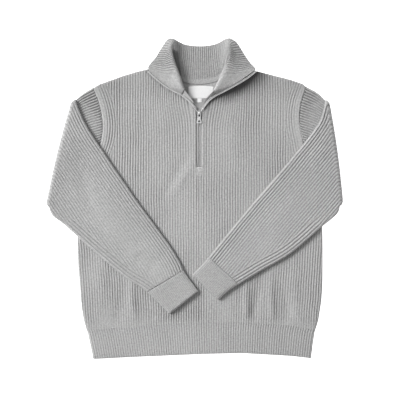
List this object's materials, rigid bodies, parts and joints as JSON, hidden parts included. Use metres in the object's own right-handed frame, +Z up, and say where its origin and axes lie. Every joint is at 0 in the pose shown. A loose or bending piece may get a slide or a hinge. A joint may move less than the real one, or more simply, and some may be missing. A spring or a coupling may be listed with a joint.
{
  "type": "quarter zip sweater",
  "caption": "Ribbed knit sweater with a zip neck, lying face up with its collar turned out and both sleeves folded across the front.",
  "frame": {"origin": "centre of the bounding box's underside, on the surface the sweater lies on", "axes": "+X towards the right as seen from above, +Y from hem to collar, +Z up, out of the front of the sweater"},
  "size_m": [0.7054, 0.7684, 0.0294],
  "materials": {
    "marl_knit": "soft matte ribbed wool knit",
    "plain_knit": "soft matte plain knit",
    "zip_tape": "matte woven tape",
    "zip_metal": "polished silver-coloured metal",
    "label_cloth": "smooth woven label cloth"
  },
  "bodies": {
    "garment": {"back_panel": "marl_knit", "front_panel": "marl_knit", "back_hem": "marl_knit", "front_hem": "marl_knit", "left_sleeve": "marl_knit", "right_sleeve": "marl_knit", "left_cuff": "marl_knit", "right_cuff": "marl_knit", "collar": "marl_knit", "left_facing": "plain_knit", "right_facing": "plain_knit", "left_zip_tape": "zip_tape", "right_zip_tape": "zip_tape", "left_zip_teeth": "zip_metal", "right_zip_teeth": "zip_metal", "zip_slider": "zip_metal", "zip_end_bar": "marl_knit", "neck_label": "label_cloth", "size_tab": "label_cloth"},
    "pull_tab": {"zip_pull": "zip_metal"}
  },
  "joints": [
    {"name": "pull_tab_hinge", "type": "hinge", "parent": "garment", "child": "pull_tab", "pos_m": [0.01068, 0.2027, 0.0126], "axis": [-1, 0, 0], "range_deg": [0, 140]}
  ]
}
